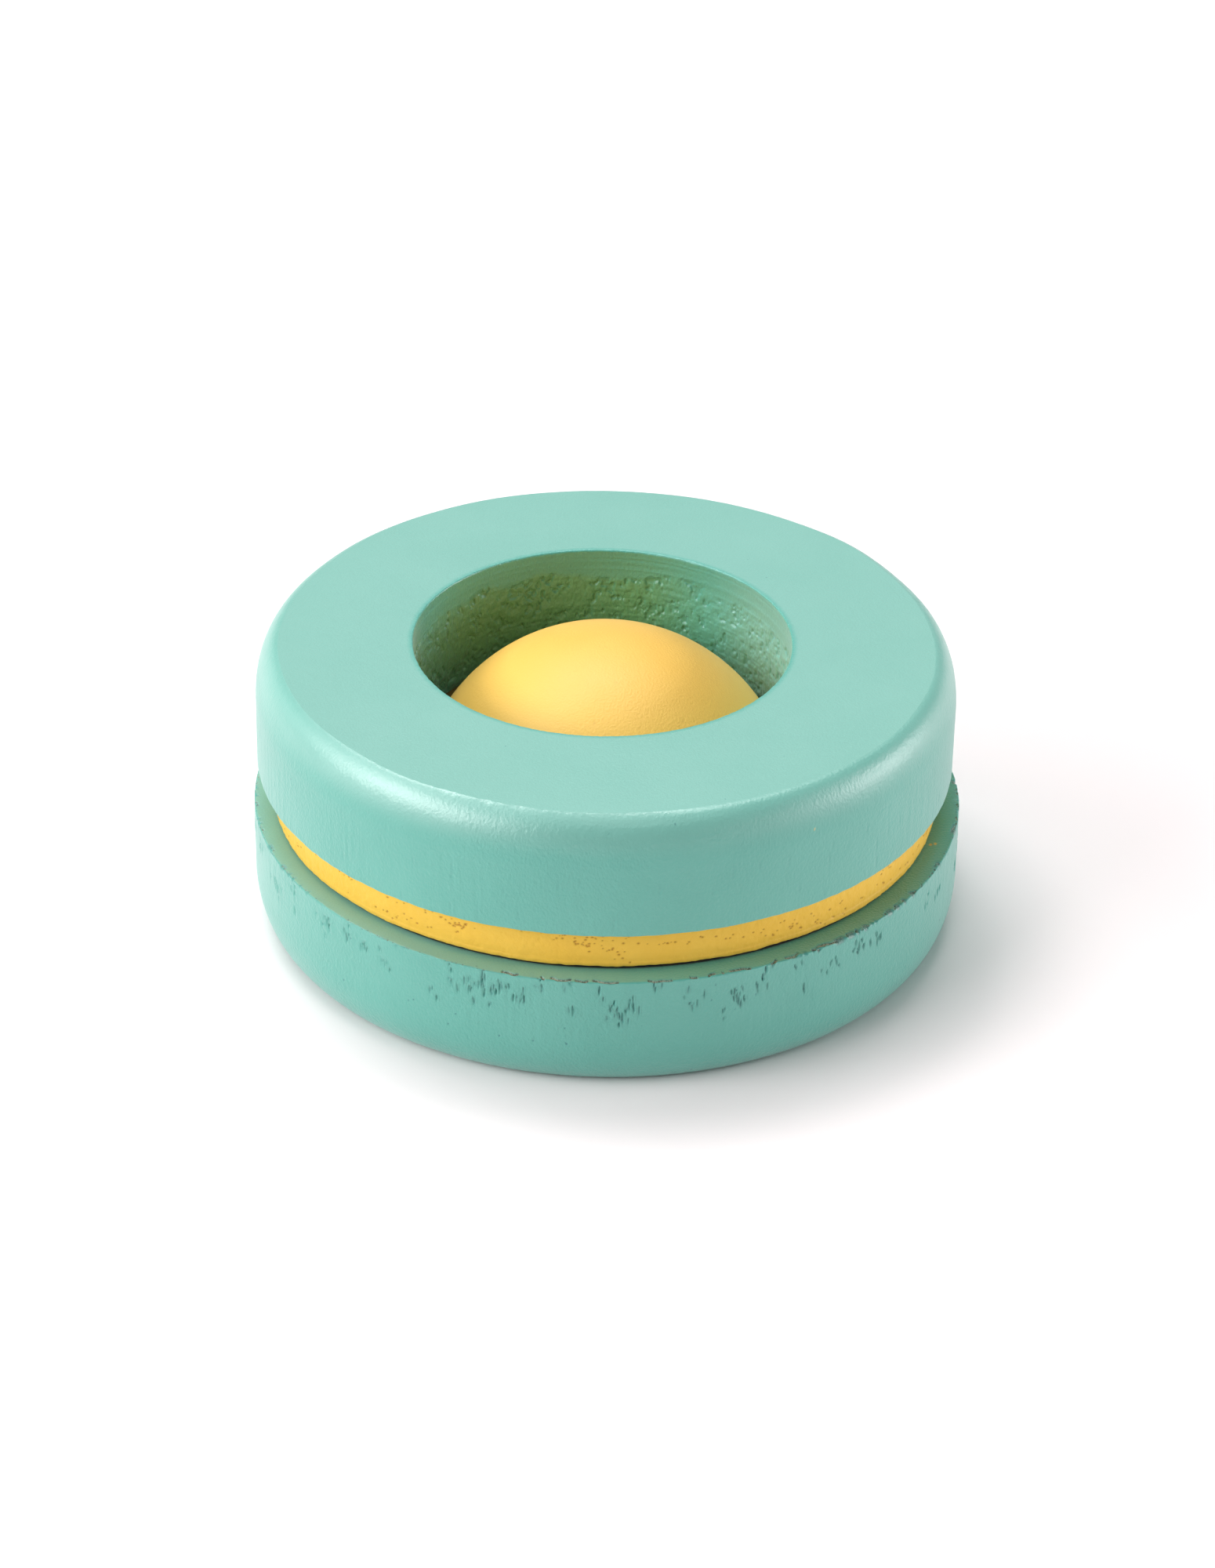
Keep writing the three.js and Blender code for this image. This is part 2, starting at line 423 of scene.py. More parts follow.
class Turned:
    """A turned surface: rows along its section by columns round its axis, with relief along its normals
    and marks that the materials read."""

    def __init__(self, columns, stretches):
        self.columns = columns
        self.angle = np.arange(columns) * TURN / columns
        self.rows = {}
        radii = []
        heights = []
        first = 0
        for name, (radius, height) in stretches.items():
            count = len(radius)
            radii.append(np.broadcast_to(radius, (count, columns)))
            heights.append(np.broadcast_to(height, (count, columns)))
            self.rows[name] = slice(first, first + count)
            first += count
        self.radius = np.concatenate(radii)
        self.height = np.concatenate(heights)
        steps = np.hypot(np.diff(self.radius.mean(1)), np.diff(self.height.mean(1)))
        self.along = np.concatenate([[0.0], np.cumsum(steps)])
        self.relief = np.zeros(self.radius.shape)
        self.marks = {}

    def mask(self, *names):
        """1 on the rows of the named stretches."""
        rows = np.zeros((len(self.along), 1))
        for name in names:
            rows[self.rows[name]] = 1.0
        return rows

    def mark(self, name):
        """A mark's share at each point, 0 until it is set."""
        return self.marks.setdefault(name, np.zeros(self.radius.shape))

    def noise(self, seed, cells, length):
        """Smooth noise from -1 to 1, in so many cells round the axis, each length long down the section."""
        places = self.along / length
        row = places.astype(int)
        lattice = random_for(seed).uniform(-1.0, 1.0, (row[-1] + 2, cells))
        share = smoothstep(0.0, 1.0, places - row)[:, None]
        return interpolate_round(lattice[row] * (1.0 - share) + lattice[row + 1] * share, self.columns)

    def dent(self, rows, angle, place, width, length, depth, mark, share=1.0, lip=0.0):
        """Sinks one dent at an angle and at a place along the section, with a low lip on its right.
        width and length are half sizes, and share is how strong its mark is."""
        turn = (self.angle - angle + math.pi) % TURN - math.pi
        across = turn * self.radius[rows].mean() / width
        down = (self.along[rows] - place) / length
        near_columns = np.flatnonzero(np.abs(across) < DENT_REACH[0])
        near_rows = np.flatnonzero(np.abs(down) < DENT_REACH[1])
        window = np.ix_(near_rows + rows.start, near_columns)
        across = across[near_columns][None, :]
        down = down[near_rows][:, None]
        shape = np.exp(-(across**2 + down**2) ** 1.5)
        side = np.exp(-((across - LIP_PLACE) ** 2 + down**2))
        self.relief[window] += depth * (lip * side - shape)
        marks = self.mark(mark)
        marks[window] = np.maximum(marks[window], share * shape)

    def place_at(self, rows, height):
        """The place along the section, within some rows, that lies at a height."""
        heights = self.height[rows].mean(1)
        order = np.argsort(heights)
        return float(np.interp(height, heights[order], self.along[rows][order]))

    def points(self, shift):
        """The points of all rows, moved along their normals by the relief and aside by a shift."""
        across = np.gradient(self.radius, axis=0)
        up = np.gradient(self.height, axis=0)
        length = np.hypot(across, up)
        radius = self.radius + self.relief * up / length
        height = self.height - self.relief * across / length
        x = radius * np.cos(self.angle) + shift[0]
        y = radius * np.sin(self.angle) + shift[1]
        return np.stack([x, y, height], axis=2).reshape(-1, 3)

    def piece(self, name, shift, closed):
        """The finished object. A closed section joins its last row to its first, and an open one is capped
        flat at both ends, next to the axis. Its texture map is the surface unrolled."""
        rows, columns = self.radius.shape
        lower = np.arange(rows if closed else rows - 1)[:, None]
        here = np.arange(columns)[None, :]
        corners = [(lower, here), (lower, here + 1), (lower + 1, here + 1), (lower + 1, here)]
        faces = np.stack([(row % rows) * columns + column % columns for row, column in corners], axis=2)
        length = self.along[-1] + HIDDEN_STEP
        unrolled = MAP_SHARE * np.append(self.along, length) / length
        maps = [np.broadcast_arrays(column / columns, unrolled[row]) for row, column in corners]
        places = np.stack([np.stack(pair, axis=2) for pair in maps], axis=2)
        quads = faces.reshape(-1, 4)
        quad_map = places.reshape(-1, 2)
        caps = [] if closed else [here[0, ::-1], (rows - 1) * columns + here[0]]
        disc = CAP_MAP_RADIUS * np.stack([np.cos(self.angle), np.sin(self.angle)], axis=1)
        cap_maps = [disc + place for place in CAP_MAP_PLACES[:len(caps)]]
        return mesh_piece(name, self.points(shift), quads, quad_map, caps, cap_maps, self.marks)


def mesh_piece(name, points, quads, quad_map, caps, cap_maps, marks):
    """An object from quads and flat many-sided caps, with a texture map and point attributes."""
    corners = np.concatenate([quads.ravel(), *caps])
    quad_starts = np.arange(len(quads)) * 4
    cap_sizes = [len(cap) for cap in caps]
    cap_starts = len(quads) * 4 + np.concatenate([[0], np.cumsum(cap_sizes)])[:len(caps)]
    mesh = bpy.data.meshes.new(name)
    mesh.vertices.add(len(points))
    mesh.vertices.foreach_set("co", points.astype(np.float32).ravel())
    mesh.loops.add(len(corners))
    mesh.loops.foreach_set("vertex_index", corners.astype(np.int32))
    mesh.polygons.add(len(quads) + len(caps))
    mesh.polygons.foreach_set("loop_start", np.concatenate([quad_starts, cap_starts]).astype(np.int32))
    mesh.update(calc_edges=True)
    mesh.shade_smooth()
    layer = mesh.uv_layers.new(name="OFBake")
    layer.uv.foreach_set("vector", np.concatenate([quad_map, *cap_maps]).astype(np.float32).ravel())
    for mark, values in marks.items():
        attribute = mesh.attributes.new(mark, "FLOAT", "POINT")
        attribute.data.foreach_set("value", values.astype(np.float32).ravel())
    mesh.validate()
    piece = bpy.data.objects.new(name, mesh)
    bpy.context.scene.collection.objects.link(piece)
    return piece


def stand_for(piece, node, material):
    """Finishes a piece that takes a CAD node's place."""
    piece.data.materials.append(material)
    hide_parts(node)
    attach(piece, "root")


# Materials

class Shading:
    """A new material and its node tree."""

    def __init__(self, name):
        self.material = bpy.data.materials.new(name)
        self.material.use_nodes = True
        self.tree = self.material.node_tree
        self.shader = self.tree.nodes["Principled BSDF"]
        self.place = self.add("TexCoord").outputs["Object"]

    def set(self, socket, value):
        """Links a node's output to a socket, or sets the socket to a constant."""
        if isinstance(value, bpy.types.NodeSocket):
            self.tree.links.new(value, socket)
        else:
            socket.default_value = value

    def add(self, kind, **sockets):
        """A new node, with some of its sockets set. Their names have _ for a space."""
        node = self.tree.nodes.new("ShaderNode" + kind)
        for name, value in sockets.items():
            self.set(node.inputs[name.replace("_", " ")], value)
        return node

    def noise(self, size, detail=2.0, stretch=(1.0, 1.0, 1.0)):
        """Noise in cells of about a size in metres, drawn out along the axes by stretch."""
        scale = tuple(1.0 / (size * length) for length in stretch)
        place = self.add("Mapping", Vector=self.place, Scale=scale).outputs["Vector"]
        return self.add("TexNoise", Vector=place, Scale=1.0, Detail=detail).outputs["Fac"]

    def ranged(self, value, low, high, to_low=0.0, to_high=1.0):
        """A value from low to high, carried over to the range from to_low to to_high and kept in it."""
        node = self.add("MapRange", Value=value, From_Min=low, From_Max=high, To_Min=to_low, To_Max=to_high)
        return node.outputs["Result"]

    def mark(self, name):
        """A mark of the piece, or 0 on a piece without it."""
        node = self.add("Attribute")
        node.attribute_name = name
        return node.outputs["Fac"]

    def mix(self, share, first, second):
        """The first colour, blended into the second by a share."""
        node = self.tree.nodes.new("ShaderNodeMix")
        node.data_type = "RGBA"
        self.set(node.inputs["Factor"], share)
        colours = [socket for socket in node.inputs if socket.type == "RGBA"]
        for socket, colour in zip(colours, (first, second)):
            self.set(socket, colour if isinstance(colour, bpy.types.NodeSocket) else (*colour, 1.0))
        return next(socket for socket in node.outputs if socket.type == "RGBA")

    def bump(self, height, depth, strength=1.0):
        """Fine grain in the shading alone."""
        return self.add("Bump", Height=height, Distance=depth, Strength=strength).outputs["Normal"]

    def finish(self, **sockets):
        """The material, with its shader's sockets set."""
        for name, value in sockets.items():
            self.set(self.shader.inputs[name.replace("_", " ")], value)
        return self.material


def teal_paint():
    """Satin paint over turned wood. The faces, the top of the rounding, lit parts of the bore's wall and
    the ledge on the left take a paler copy of it, with painted light and sheen. Marks add painted shade
    tinted with yellow reflected light, painted shade in pits and seams, show the wood where it is chipped,
    and put drips of the filling's paint on it."""
    shading = Shading("teal_paint")
    matt_and_painted_light = shading.mark("matt_and_painted_light")
    polish = shading.mark("polish")

    def by_finish(side, face, polished):
        return shading.ranged(polish, 0.0, 1.0, shading.ranged(matt_and_painted_light, 0.0, 1.0, side, face), polished)

    clouds = shading.ranged(shading.noise(TEAL_CLOUDS, detail=3.0), 0.2, 0.8)
    # Painted light and sheen: the faces, lit walls and the ledge on the left take a paler copy of the teal
    pale = shading.mix(matt_and_painted_light, SIDE_PALE, FACE_SHEEN_PALE)
    tone = shading.mix(clouds, shading.mix(matt_and_painted_light, SIDE_DEEP, FACE_SHEEN_DEEP), pale)
    speckle = shading.ranged(shading.noise(TEAL_SPECKLE, detail=1.0), 0.52, 0.75, to_high=0.5)
    tone = shading.mix(speckle, tone, pale)
    # Painted shade with a painted yellow reflection, in the bore and on the ledge
    tone = shading.mix(shading.mark("painted_yellow_bounce_shade"), tone, TEAL_YELLOW_BOUNCE_SHADE)
    # Painted shade in pinholes and in the pits that the marks give
    pinholes = shading.ranged(shading.noise(TEAL_PINHOLES, detail=0.0), 0.13, 0.08, to_high=0.6)
    tone = shading.mix(pinholes, tone, TEAL_PIT_SHADE)
    tone = shading.mix(shading.mark("painted_pit_shade"), tone, TEAL_PIT_SHADE)
    splinters = shading.ranged(shading.noise(TEAL_SPLINTERS), 0.42, 0.58)
    tone = shading.mix(shading.mark("bare"), tone, shading.mix(splinters, SPLINTER_DARK, SPLINTER_PALE))
    tone = shading.mix(shading.mark("speck"), tone, YELLOW)
    # Painted shade in seams and crevices
    tone = shading.mix(shading.mark("painted_seam_shade"), tone, SEAM_PAINTED_SHADE)
    grains = shading.noise(TEAL_GRAIN_SIZE, stretch=(1.0, 1.0, 1.4))
    return shading.finish(
        Base_Color=tone,
        Roughness=by_finish(*TEAL_ROUGHNESS),
        Specular_IOR_Level=by_finish(*TEAL_GLOSS),
        Normal=shading.bump(grains, TEAL_GRAIN_DEPTH, by_finish(*TEAL_GRAIN)),
        Sheen_Weight=TEAL_SHEEN,
        Sheen_Roughness=SHEEN_ROUGHNESS,
    )


def yellow_paint(name, pale, deep, gloss):
    """Matt paint. Marks show the wood's open pores through it and put painted shade where it lies in seams
    or under cover.
    """
    shading = Shading(name)
    clouds = shading.ranged(shading.noise(YELLOW_CLOUDS, detail=3.0), 0.3, 0.7)
    tone = shading.mix(clouds, deep, pale)
    speckle = shading.ranged(shading.noise(YELLOW_SPECKLE, detail=1.0), 0.55, 0.8, to_high=0.5)
    tone = shading.mix(speckle, tone, deep)
    tone = shading.mix(shading.mark("pore"), tone, OCHRE)
    tone = shading.mix(shading.mark("painted_seam_shade"), tone, SEAM_PAINTED_SHADE)
    return shading.finish(
        Base_Color=tone,
        Roughness=shading.ranged(clouds, 0.0, 1.0, *YELLOW_ROUGHNESS),
        Specular_IOR_Level=gloss,
        Normal=shading.bump(shading.noise(YELLOW_GRAIN_SIZE), YELLOW_GRAIN_DEPTH),
        Sheen_Weight=YELLOW_SHEEN,
        Sheen_Roughness=SHEEN_ROUGHNESS,
    )


def bare_wood():
    """Unpainted beech: fine upright grain with short dark flecks."""
    shading = Shading("bare_wood")
    fibres = shading.noise(WOOD_GRAIN_SIZE, detail=3.0, stretch=(1.0, 1.0, 14.0))
    grain = shading.ranged(fibres, 0.35, 0.65)
    tone = shading.mix(grain, WOOD_MID, WOOD_PALE)
    flecks = shading.noise(WOOD_FLECKS, detail=1.0, stretch=(1.0, 1.0, 6.0))
    tone = shading.mix(shading.ranged(flecks, 0.66, 0.74, to_high=0.6), tone, WOOD_DARK)
    relief = shading.bump(grain, WOOD_GRAIN_DEPTH)
    return shading.finish(Base_Color=tone, Roughness=WOOD_ROUGHNESS, Normal=relief)


def floor_paper():
    """Smooth white studio paper with a trace of tooth."""
    shading = Shading("floor_paper")
    tooth = shading.bump(shading.noise(PAPER_TOOTH_SIZE), PAPER_TOOTH_DEPTH)
    return shading.finish(Base_Color=(*FLOOR_WHITE, 1.0), Roughness=PAPER_ROUGHNESS, Normal=tooth)


# Pieces

def turned_marks(surface, seed, names):
    """What every painted biscuit shows outside: slight waves, paint peel, and on its straight side faint
    upright streaks."""
    waves = surface.noise(seed, cells=34, length=4.0 * MM) * WAVE
    patches = smoothstep(-0.1, 0.5, surface.noise(seed + 1, cells=46, length=3.5 * MM))
    streaks = surface.noise(seed + 2, cells=560, length=2.4 * MM) * patches * STREAK * surface.mask("side")
    peel = surface.noise(seed + 3, cells=600, length=0.26 * MM) * PEEL
    surface.relief += (waves + streaks + peel) * surface.mask(*names)


def ring_biscuit(material):
    """The upper biscuit: a ring, with a crease where its rounding meets its flat face."""
    low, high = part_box("top_biscuit")
    bore, outer = node_radii("top_biscuit")
    columns = RING_COLUMNS
    angle = np.arange(columns) * TURN / columns
    width = ROUNDING_WIDTH + CREASE_WANDER * ring_noise(1, 26, columns)
    jag = CREASE_JAG * ring_noise(2, 240, columns) + CREASE_FINE_JAG * ring_noise(3, 520, columns)
    jag = jag * at_least(SOUND_JAG, arc_mask(angle, *TORN_CREASE_ARC))
    deeper = CREASE_DEEPER * arc_mask(angle, *DEEP_CREASE_ARC)
    softer = CREASE_SOFTER * arc_mask(angle, *SOFT_CREASE_ARC)
    crease = np.radians(CREASE_ANGLE - deeper + softer)
    rim = BORE_RIM * (1.0 + 0.3 * ring_noise(4, 300, columns))
    edge = SHARP_EDGE * (1.0 + 0.5 * ring_noise(5, 260, columns))
    side_top = high.z - ROUNDING_HEIGHT
    flat = outer - width - jag
    margin = outer - ROUNDING_WIDTH - RING_MARGIN
    surface = Turned(columns, {
        "under": line((bore, low.z), (outer - edge, low.z), row_count(outer - bore, HIDDEN_STEP)),
        "edge": corner((outer - edge, low.z + edge), edge, -math.pi / 2, 0.0, EDGE_ROWS),
        "side": line((outer, low.z + edge), (outer, side_top), row_count(side_top - low.z, FINE_STEP)),
        "rounding": rounding(outer, side_top, width, jag, crease, 1),
        "margin": line((flat, high.z), (margin, high.z), row_count(RING_MARGIN, FINE_STEP)),
        "flat": line((margin, high.z), (bore + rim, high.z), row_count(margin - bore, PLAIN_STEP)),
        "rim": corner((bore + rim, high.z - rim), rim, math.pi / 2, math.pi, EDGE_ROWS),
        "bore": line((bore, high.z - rim), (bore, low.z), row_count(high.z - low.z, BORE_STEP)),
    })
    turned_marks(surface, 10, ["edge", "side", "rounding"])
    rough_bore(surface, high.z)
    turning = surface.noise(25, cells=9, length=0.3 * MM) * LATHE_MARK * arc_mask(angle, *LATHE_MARK_ARC)
    surface.relief += turning * surface.mask("rounding")
    scored_side(surface, low.z)
    surface.relief[surface.rows["margin"]] = 0.0
    ring_finish(surface)
    piece = surface.piece("ring_biscuit", RING_SHIFT, True)
    sharpen(piece, columns, surface.rows["margin"].start)
    shift_bore(piece, bore, flat.min())
    stand_for(piece, "top_biscuit", material)


def rough_bore(surface, top):
    """The bore's wall: lathe lines under the rim, and crumbled, torn end grain below them, with painted
    shade in its pits. At the back, painted shade tinted with yellow light reflected from the dome lies on
    it."""
    in_bore = surface.mask("bore")
    lathe_lines = surface.noise(20, cells=9, length=0.16 * MM) * LATHE_LINE
    torn_top = CRUMBLED_FROM + CRUMBLED_WANDER * ring_noise(21, 36, surface.columns)
    torn = smoothstep(0.0, CRUMBLED_BLEND, top - surface.height - torn_top) * in_bore
    coarse = surface.noise(22, cells=130, length=0.75 * MM)
    middling = surface.noise(23, cells=260, length=0.36 * MM)
    fine = surface.noise(24, cells=520, length=0.2 * MM)
    crumbs = 0.5 * coarse + 0.5 * middling + 0.25 * fine
    pits = smoothstep(0.15, 0.5, crumbs)
    surface.relief += lathe_lines * in_bore - (CRUMB_DEPTH * crumbs + CRUMB_PIT_DEPTH * pits) * torn
    # Painted shade in the crumbs' pits
    surface.mark("painted_pit_shade")[:] += CRUMB_PIT_SHADE * pits * torn
    # Painted shade with a yellow cast at the back of the wall, half as strong above the torn grain
    painted_yellow_bounce_shade = at_least(SHADED_WALL_TOP, torn) * in_bore
    surface.mark("painted_yellow_bounce_shade")[:] = painted_yellow_bounce_shade * arc_mask(surface.angle, *SHADED_WALL_ARC)


def scored_side(surface, underside):
    """Faint upright scores on the ring's side, with a trace of painted shade in them, and drips of the
    filling's paint.
    """
    random = random_for(26)
    rows = surface.rows["side"]
    for _ in range(SCORES):
        place = surface.place_at(rows, underside + random.uniform(*SCORE_HEIGHTS))
        length = random.uniform(*SCORE_LENGTHS)
        angle = random.uniform(0.0, TURN)
        surface.dent(rows, angle, place, SCORE_WIDTH, length, SCORE_DEPTH, "painted_pit_shade", share=0.1, lip=0.4)
    rows = slice(surface.rows["side"].start, surface.rows["rounding"].stop)
    for degrees, height in RING_SPECKS:
        place = surface.place_at(rows, height * MM)
        angle = math.radians(degrees)
        surface.dent(rows, angle, place, *RING_SPECK_SIZE, -SPECK_HEIGHT, "speck", share=0.7)


def ring_finish(surface):
    """Marks where the ring takes the faces' finish and their paler colour of painted light: the faces, the
    rounding and lit parts of the bore's wall; and the polish of its rounding.
    """
    painted_light_wall = np.maximum(*[arc_mask(surface.angle, *arc) for arc in LIT_WALL_ARCS])
    matt_and_painted_light = surface.mark("matt_and_painted_light")
    # Painted light and the faces' finish on the faces and on lit parts of the bore's wall
    matt_and_painted_light[:] = surface.mask("margin", "flat") + painted_light_wall * surface.mask("bore")
    rows = surface.rows["rounding"]
    share = np.linspace(0.0, 1.0, rows.stop - rows.start)[:, None]
    # Painted light and the faces' finish towards the top of the rounding
    matt_and_painted_light[rows] = ROUNDING_MATT_AND_LIGHT * smoothstep(0.05, 0.6, share)
    polished = at_least(LEAST_POLISH, arc_mask(surface.angle, *POLISHED_ARC))
    surface.mark("polish")[rows] = smoothstep(0.2, 0.55, share) * polished


def sharpen(piece, columns, row):
    """Breaks the smooth shading along a row of a turned piece."""
    mesh = piece.data
    ends = np.empty(len(mesh.edges) * 2, np.int32)
    mesh.edges.foreach_get("vertices", ends)
    on_row = (ends.reshape(-1, 2) // columns == row).all(axis=1)
    mesh.attributes.new("sharp_edge", "BOOLEAN", "EDGE").data.foreach_set("value", on_row)


def shift_bore(piece, bore, flat):
    """Moves the bore aside, and less and less of the faces round it out to the edge of the flat."""
    mesh = piece.data
    points = np.empty(len(mesh.vertices) * 3, np.float32)
    mesh.vertices.foreach_get("co", points)
    points = points.reshape(-1, 3)
    radius = np.hypot(points[:, 0] - RING_SHIFT[0], points[:, 1] - RING_SHIFT[1])
    share = 1.0 - smoothstep(bore + BORE_COLLAR, flat, radius)
    points[:, :2] += share[:, None] * np.array(BORE_SHIFT)
    mesh.vertices.foreach_set("co", points.ravel())
    mesh.update()


def base_biscuit(material):
    """The lower biscuit. Where it is bitten, its upper edge is rounder."""
    low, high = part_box("bottom_biscuit")
    outer = node_radii("bottom_biscuit")[1]
    filling = node_radii("filling_disc")[1]
    covered = filling - BASE_COVERED
    columns = BASE_COLUMNS
    angle = np.arange(columns) * TURN / columns
    serrated = np.maximum(arc_mask(angle, *SERRATED_ARC), 0.7 * arc_mask(angle, *LESS_SERRATED_ARC))
    bites = ring_noise(42, 460, columns) + 0.4 * ring_noise(43, 900, columns)
    bites = smoothstep(0.0, 0.8, bites) * serrated
    edge = SHARP_EDGE * (1.0 + 0.3 * ring_noise(44, 300, columns)) + BITE_ROUNDING * bites
    crease = np.full(columns, math.radians(FOOT_CREASE_ANGLE))
    side_low = low.z + ROUNDING_HEIGHT
    brink = outer - BASE_BRINK
    surface = Turned(columns, {
        "under": line((AXIS_CAP, low.z), (outer - ROUNDING_WIDTH, low.z), row_count(outer, HIDDEN_STEP)),
        "foot": rounding(outer, side_low, ROUNDING_WIDTH, 0.0, crease, -1),
        "side": line((outer, side_low), (outer, high.z - edge), row_count(high.z - side_low, SIDE_STEP)),
        "edge": corner((outer - edge, high.z - edge), edge, 0.0, math.pi / 2, EDGE_ROWS),
        "brink": line((outer - edge, high.z), (brink, high.z), row_count(BASE_BRINK, BRINK_STEP)),
        "ledge": line((brink, high.z), (covered, high.z), row_count(brink - covered, FILLING_STEP)),
        "covered": line((covered, high.z), (AXIS_CAP, high.z), row_count(covered, HIDDEN_STEP)),
    })
    turned_marks(surface, 50, ["foot", "side", "edge"])
    upper = smoothstep(*UNEVEN_HEIGHTS, surface.height) * surface.mask("side", "edge")
    surface.relief += surface.noise(54, cells=120, length=0.9 * MM) * UNEVEN * upper
    torn_side(surface)
    chipped_brink(surface, bites)
    surface.relief += surface.noise(55, cells=500, length=0.3 * MM) * LEDGE_PEEL * surface.mask("ledge")
    ledge = surface.rows["ledge"]
    for degrees, radius in LEDGE_SPECKS:
        place = float(np.interp(-radius * MM, -surface.radius[ledge].mean(1), surface.along[ledge]))
        surface.dent(ledge, math.radians(degrees), place, *LEDGE_SPECK_SIZE, -SPECK_HEIGHT, "speck")
    on_ledge = surface.mask("brink", "ledge")
    # Painted light and the faces' finish on the ledge on the left
    surface.mark("matt_and_painted_light")[:] = arc_mask(angle, *LIT_LEDGE_ARC) * on_ledge
    # Painted shade with a yellow cast on the ledge in front
    surface.mark("painted_yellow_bounce_shade")[:] = LEDGE_BOUNCE_SHADE * arc_mask(angle, *SHADED_LEDGE_ARC) * on_ledge
    # Painted shade on the ledge, from just inside the filling's edge inwards
    painted_seam_shade = filling - SEAM_INSET
    surface.mark("painted_seam_shade")[ledge] = smoothstep(painted_seam_shade, painted_seam_shade - SEAM_BLEND, surface.radius[ledge])
    surface.relief = surface.relief - SIDE_ALLOWANCE * surface.mask("foot", "side", "edge")
    surface.relief = np.minimum(surface.relief, 0.0)
    piece = surface.piece("base_biscuit", (0.0, 0.0), False)
    stand_for(piece, "bottom_biscuit", material)


def torn_side(surface):
    """Torn grain on the upper side of the lower biscuit: in patches, fibres are pulled out upright and
    leave narrow, crooked slits with low lips and painted shade in them. Pinholes with painted shade in them
    are all round."""
    random = random_for(60)
    free = [
        (random.uniform(*FREE_ARC), random.uniform(*FREE_HEIGHTS), random.uniform(*FREE_STRENGTHS))
        for _ in range(FREE_PATCHES)
    ]
    rows = slice(surface.rows["side"].start, surface.rows["edge"].stop)
    radius = surface.radius[rows].mean()
    for degrees, height, strength in TORN_PATCHES + free:
        for _ in range(round(SLITS_IN_PATCH * strength)):
            angle = math.radians(degrees) + random.normal(0.0, TORN_WIDTH) / radius
            place = surface.place_at(rows, height * MM + random.normal(0.0, TORN_HEIGHT))
            width = random.uniform(*SLIT_WIDTHS)
            length = random.uniform(*SLIT_LENGTHS)
            depth = random.uniform(*SLIT_DEPTHS)
            crook = random.normal(0.0, SLIT_CROOK) / radius
            dark = random.uniform(*SLIT_SHADE)
            hollow = (HOLLOW_WIDTH, HOLLOW_LENGTH, HOLLOW_DEPTH)
            surface.dent(rows, angle, place, *hollow, "painted_pit_shade", share=0.08, lip=0.5)
            surface.dent(rows, angle, place, width, length, depth, "painted_pit_shade", dark, SLIT_LIP)
            tail = (0.8 * width, 0.7 * length, depth)
            surface.dent(rows, angle + crook, place + length, *tail, "painted_pit_shade", dark, SLIT_LIP)
    for _ in range(PINHOLES):
        place = surface.place_at(rows, random.uniform(*PINHOLE_HEIGHTS))
        size = random.uniform(*PINHOLE_SIZES)
        angle = random.uniform(0.0, TURN)
        surface.dent(rows, angle, place, size, size, PINHOLE_DEPTH, "painted_pit_shade")


def chipped_brink(surface, bites):
    """The sharp upper edge. In front, short, narrow, crooked chips show the wood, each with a bead of paint
    outside it. Where it is bitten, the paint is sunk and carries painted shade, with specks of wood. Dark
    dots of bare wood lie along it."""
    columns = surface.columns
    rows = slice(surface.rows["side"].start, surface.rows["brink"].stop)
    edge = surface.along[surface.rows["brink"].start]
    inwards = (surface.along[rows] - edge)[:, None]
    chipped = at_least(LEAST_CHIPPED, arc_mask(surface.angle, *CHIPPED_ARC))
    dashes = smoothstep(-0.1, 0.15, ring_noise(45, 270, columns) + 0.35 * ring_noise(46, 500, columns))
    dashes = smoothstep(0.4, 0.6, dashes * chipped + 0.25 * ring_noise(49, 90, columns)) * (1.0 - bites)
    middle = CHIP_MIDDLE + CHIP_CROOK * ring_noise(48, 360, columns)
    chips = dashes * np.exp(-(((inwards - middle) / CHIP_WIDTH) ** 4))
    beads = dashes * np.exp(-(((inwards - middle + BEAD_OFFSET) / BEAD_WIDTH) ** 2))
    bite_across = np.exp(-(((inwards + BITE_OFFSET) / BITE_WIDTH) ** 4))
    specks = 0.45 * smoothstep(0.7, 1.0, bites) * bite_across**2
    bitten = bites * bite_across
    surface.relief[rows] += BEAD_HEIGHT * beads - CHIP_DEPTH * chips - BITE_DEPTH * bitten
    surface.mark("bare")[rows] = np.maximum(chips, specks)
    # Painted shade where the edge is bitten
    surface.mark("painted_pit_shade")[rows] = np.maximum(surface.mark("painted_pit_shade")[rows], 0.5 * bitten)
    random = random_for(63)
    for start, end, count, size in DOTTED_ARCS:
        for _ in range(count):
            angle = math.radians(random.uniform(start, end))
            place = edge + random.normal(0.0, DOT_SCATTER)
            half = size * random.uniform(*DOT_VARIETY)
            surface.dent(rows, angle, place, half, 0.8 * half, half, "bare")


